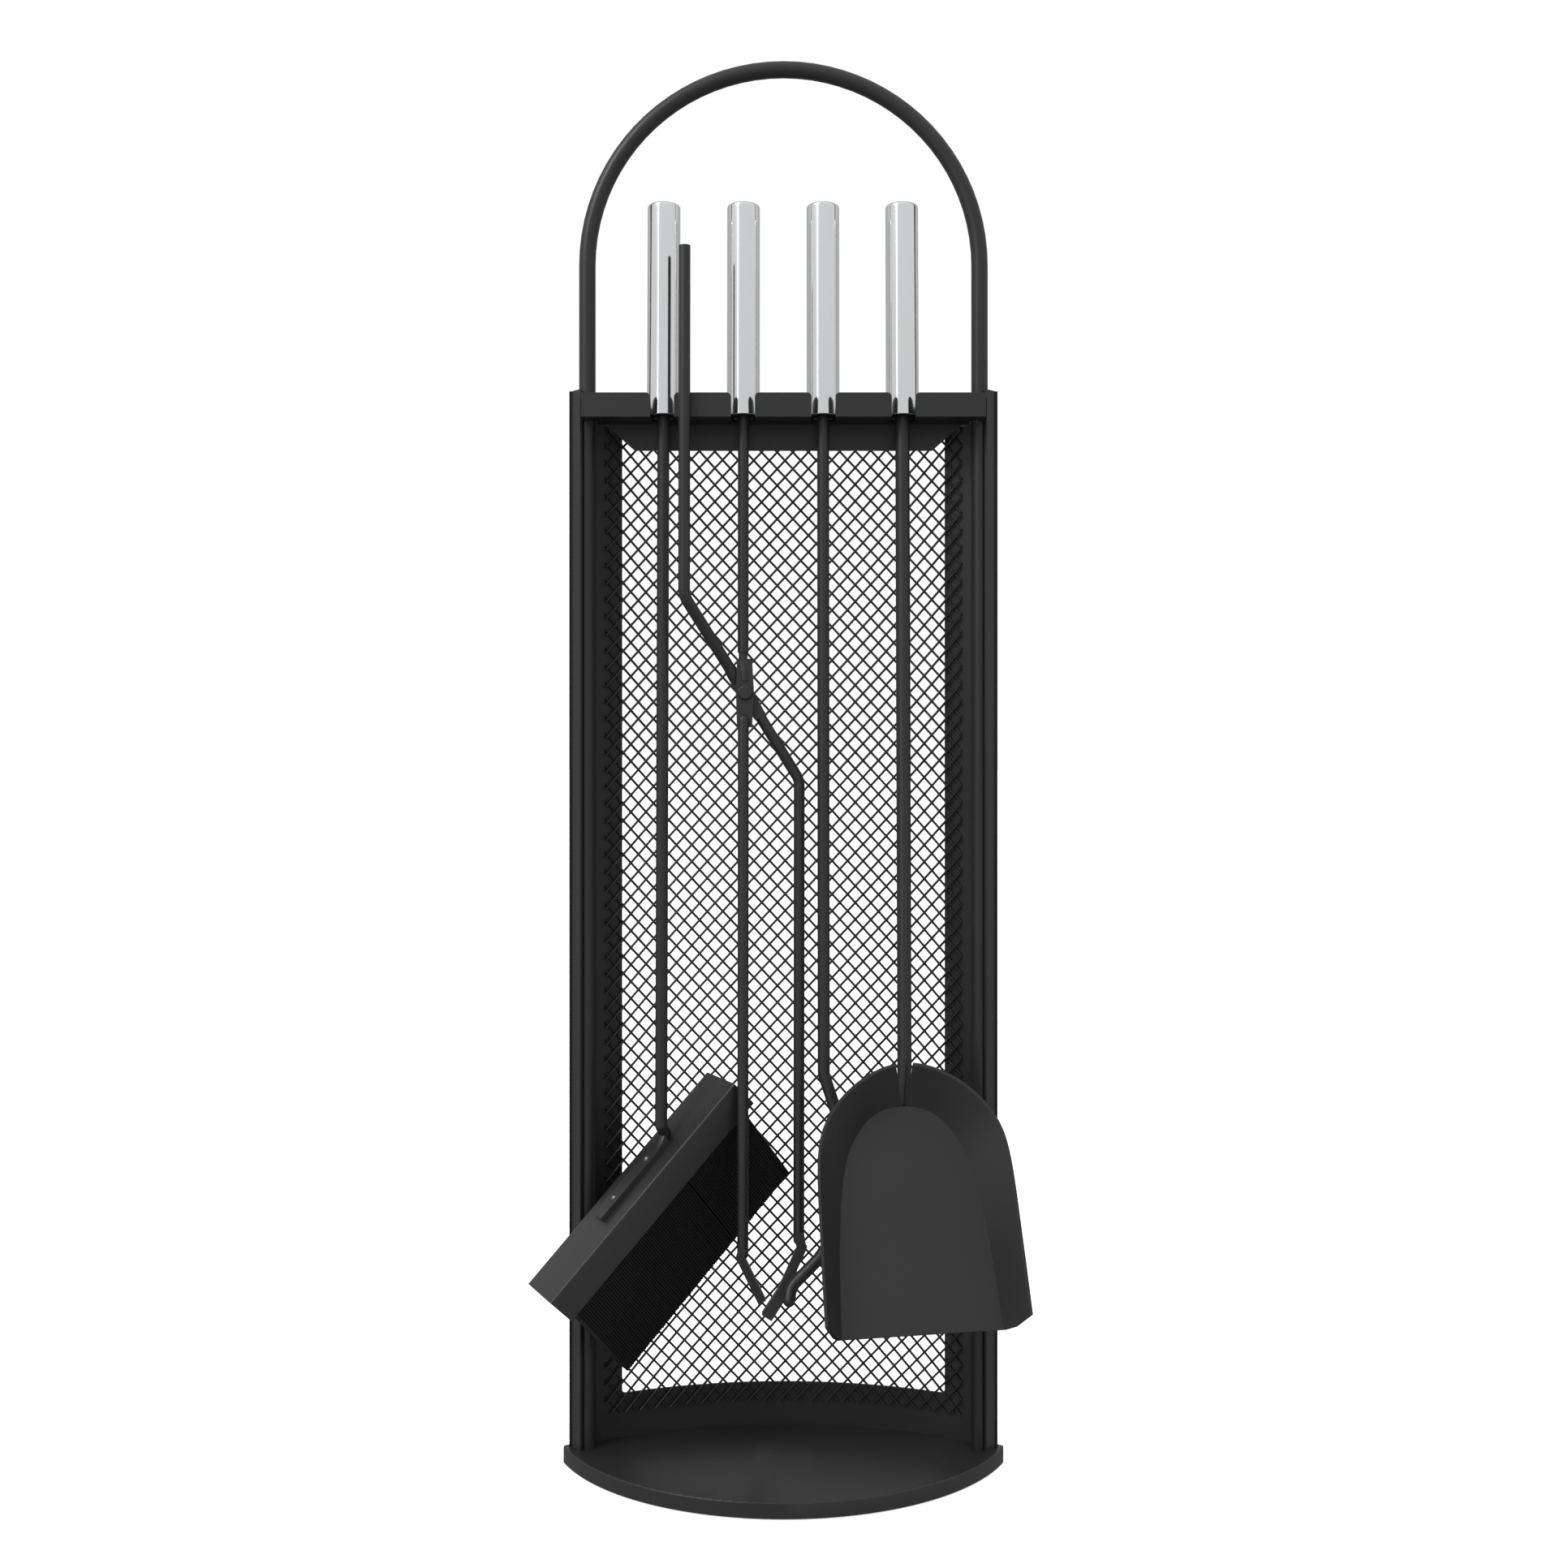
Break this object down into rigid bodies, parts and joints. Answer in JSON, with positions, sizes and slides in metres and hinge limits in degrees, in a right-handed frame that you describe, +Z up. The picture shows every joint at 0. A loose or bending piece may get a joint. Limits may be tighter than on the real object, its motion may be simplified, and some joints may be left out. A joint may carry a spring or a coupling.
{
  "type": "fireplace tool set",
  "caption": "Fireplace companion set: curved mesh-backed stand with a carry arch and notched hanger, holding a brush, tongs, poker and shovel with tube grips.",
  "frame": {"origin": "on the floor, midway between the two tips of the base, on the underside of the rear rubber pad", "axes": "+Z up, -Y towards the front where the tools hang, +X to the right seen from the front"},
  "size_m": [0.2202, 0.1141, 0.6439],
  "materials": {
    "black_coat": "satin black powder coat",
    "wire_mesh": "satin black coated wire",
    "chrome": "polished chrome plate",
    "black_plastic": "matt",
    "rubber": "matt",
    "zinc_steel": "satin",
    "brush_block": "satin black paint",
    "bristle": "black fibre"
  },
  "bodies": {
    "stand": {"base_tray": "black_coat", "base_pads": "rubber", "back_panel": "black_coat", "mesh_screen": "wire_mesh", "carry_handle": "black_coat", "leg_screws": "zinc_steel", "hanger_bar": "black_coat"},
    "brush": {"brush_grip": "chrome", "brush_cap": "chrome", "brush_bush": "black_plastic", "brush_rod": "black_coat", "brush_block": "brush_block", "brush_bristles": "bristle", "brush_screws": "zinc_steel"},
    "tongs": {"tongs_grip": "chrome", "tongs_cap": "chrome", "tongs_bush": "black_plastic", "tongs_main_arm": "black_coat", "tongs_rivet": "black_coat"},
    "tongs_arm": {"tongs_second_arm": "black_coat"},
    "poker": {"poker_grip": "chrome", "poker_cap": "chrome", "poker_bush": "black_plastic", "poker_rod": "black_coat"},
    "shovel": {"shovel_grip": "chrome", "shovel_cap": "chrome", "shovel_bush": "black_plastic", "shovel_rod": "black_coat", "shovel_scoop": "black_coat"}
  },
  "joints": [
    {"name": "brush_lift", "type": "slide", "parent": "stand", "child": "brush", "axis": [0, 0, 1], "range_m": [0, 0.011]},
    {"name": "tongs_lift", "type": "slide", "parent": "stand", "child": "tongs", "axis": [0, 0, 1], "range_m": [0, 0.011]},
    {"name": "poker_lift", "type": "slide", "parent": "stand", "child": "poker", "axis": [0, 0, 1], "range_m": [0, 0.011]},
    {"name": "shovel_lift", "type": "slide", "parent": "stand", "child": "shovel", "axis": [0, 0, 1], "range_m": [0, 0.011]},
    {"name": "tongs_open", "type": "hinge", "parent": "tongs", "child": "tongs_arm", "pos_m": [-0.0173, -0.01162, 0.35343], "axis": [0, -0.9986, 0.0523], "range_deg": [0, 12]}
  ]
}
